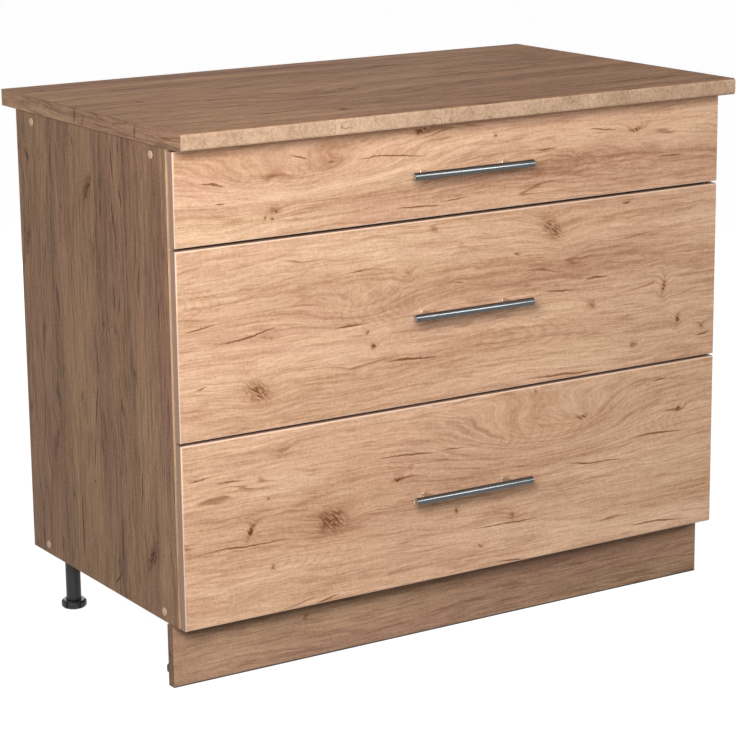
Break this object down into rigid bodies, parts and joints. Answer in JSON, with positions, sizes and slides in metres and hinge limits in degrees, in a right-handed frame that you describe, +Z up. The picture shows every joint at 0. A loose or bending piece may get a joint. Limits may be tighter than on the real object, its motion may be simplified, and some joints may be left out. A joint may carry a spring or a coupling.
{
  "type": "base cabinet with drawers",
  "caption": "Kitchen base cabinet with full-width drawers, bar handles, oak-look boards, an overhanging worktop, a recessed clip-on plinth and adjustable legs.",
  "frame": {"origin": "on the floor, in the middle of the whole cabinet's length and depth", "axes": "+X right along the front, +Y from the front to the back, +Z up"},
  "size_m": [1.005, 0.6, 0.846],
  "materials": {
    "box_board": "oak-look laminate, matt",
    "bracket_steel": "zinc plated",
    "cap_plastic": "beige, satin",
    "carcass_decor": "oak-look laminate, vertical grain, matt",
    "clip_plastic": "black",
    "fastener_steel": "zinc plated",
    "front_decor": "oak-look laminate, horizontal grain, satin",
    "handle_steel": "brushed, satin",
    "leg_plastic": "black, fine texture",
    "pad_plastic": "clear, soft",
    "plinth_decor": "oak-look laminate, horizontal grain, matt",
    "seal_plastic": "dark brown, soft",
    "slide_steel": "zinc plated",
    "thin_board": "white lacquered hardboard",
    "worktop_laminate": "oak-look worktop laminate, satin"
  },
  "bodies": {
    "cabinet": {"side_left": "carcass_decor", "side_right": "carcass_decor", "bottom_panel": "carcass_decor", "top_rail_front": "carcass_decor", "top_rail_back": "carcass_decor", "back_panel": "thin_board", "back_panel_nails": "fastener_steel", "worktop": "worktop_laminate", "worktop_brackets": "bracket_steel", "bumper_pads": "pad_plastic", "confirmat_screws": "fastener_steel", "screw_caps": "cap_plastic", "small_screws": "fastener_steel", "slide_cabinet_members": "slide_steel", "leg_plates": "leg_plastic", "leg_tubes": "leg_plastic"},
    "plinth": {"plinth_board": "plinth_decor", "plinth_seal": "seal_plastic", "plinth_clips": "clip_plastic"},
    "foot_front_left": {"foot_front_left": "leg_plastic"},
    "foot_back_left": {"foot_back_left": "leg_plastic"},
    "foot_front_right": {"foot_front_right": "leg_plastic"},
    "foot_back_right": {"foot_back_right": "leg_plastic"},
    "drawer_top": {"top_drawer_front": "front_decor", "top_drawer_side_left": "box_board", "top_drawer_side_right": "box_board", "top_drawer_inner_front": "box_board", "top_drawer_back": "box_board", "top_drawer_bottom": "thin_board", "top_drawer_screws": "fastener_steel", "top_handle_bar": "handle_steel", "top_handle_posts": "handle_steel", "top_slide_drawer_members": "slide_steel"},
    "slides_top": {"top_slide_middle_members": "slide_steel", "top_slide_ball_cages": "slide_steel"},
    "drawer_middle": {"middle_drawer_front": "front_decor", "middle_drawer_side_left": "box_board", "middle_drawer_side_right": "box_board", "middle_drawer_inner_front": "box_board", "middle_drawer_back": "box_board", "middle_drawer_bottom": "thin_board", "middle_drawer_screws": "fastener_steel", "middle_handle_bar": "handle_steel", "middle_handle_posts": "handle_steel", "middle_slide_drawer_members": "slide_steel"},
    "slides_middle": {"middle_slide_middle_members": "slide_steel", "middle_slide_ball_cages": "slide_steel"},
    "drawer_bottom": {"bottom_drawer_front": "front_decor", "bottom_drawer_side_left": "box_board", "bottom_drawer_side_right": "box_board", "bottom_drawer_inner_front": "box_board", "bottom_drawer_back": "box_board", "bottom_drawer_bottom": "thin_board", "bottom_drawer_screws": "fastener_steel", "bottom_handle_bar": "handle_steel", "bottom_handle_posts": "handle_steel", "bottom_slide_drawer_members": "slide_steel"},
    "slides_bottom": {"bottom_slide_middle_members": "slide_steel", "bottom_slide_ball_cages": "slide_steel"}
  },
  "joints": [
    {"name": "plinth_pull", "type": "slide", "parent": "cabinet", "child": "plinth", "axis": [0, -1, 0], "range_m": [0, 0.05]},
    {"name": "foot_front_left_level", "type": "slide", "parent": "cabinet", "child": "foot_front_left", "axis": [0, 0, -1], "range_m": [0, 0.02]},
    {"name": "foot_back_left_level", "type": "slide", "parent": "cabinet", "child": "foot_back_left", "axis": [0, 0, -1], "range_m": [0, 0.02]},
    {"name": "foot_front_right_level", "type": "slide", "parent": "cabinet", "child": "foot_front_right", "axis": [0, 0, -1], "range_m": [0, 0.02]},
    {"name": "foot_back_right_level", "type": "slide", "parent": "cabinet", "child": "foot_back_right", "axis": [0, 0, -1], "range_m": [0, 0.02]},
    {"name": "top_drawer_slide", "type": "slide", "parent": "cabinet", "child": "drawer_top", "axis": [0, -1, 0], "range_m": [0, 0.45]},
    {"name": "top_middle_member_slide", "type": "slide", "parent": "cabinet", "child": "slides_top", "axis": [0, -1, 0], "range_m": [0, 0.225]},
    {"name": "middle_drawer_slide", "type": "slide", "parent": "cabinet", "child": "drawer_middle", "axis": [0, -1, 0], "range_m": [0, 0.45]},
    {"name": "middle_middle_member_slide", "type": "slide", "parent": "cabinet", "child": "slides_middle", "axis": [0, -1, 0], "range_m": [0, 0.225]},
    {"name": "bottom_drawer_slide", "type": "slide", "parent": "cabinet", "child": "drawer_bottom", "axis": [0, -1, 0], "range_m": [0, 0.45]},
    {"name": "bottom_middle_member_slide", "type": "slide", "parent": "cabinet", "child": "slides_bottom", "axis": [0, -1, 0], "range_m": [0, 0.225]}
  ],
  "couplings": [
    {"joint": "top_middle_member_slide", "follows": "top_drawer_slide", "ratio": 0.5},
    {"joint": "middle_middle_member_slide", "follows": "middle_drawer_slide", "ratio": 0.5},
    {"joint": "bottom_middle_member_slide", "follows": "bottom_drawer_slide", "ratio": 0.5}
  ]
}
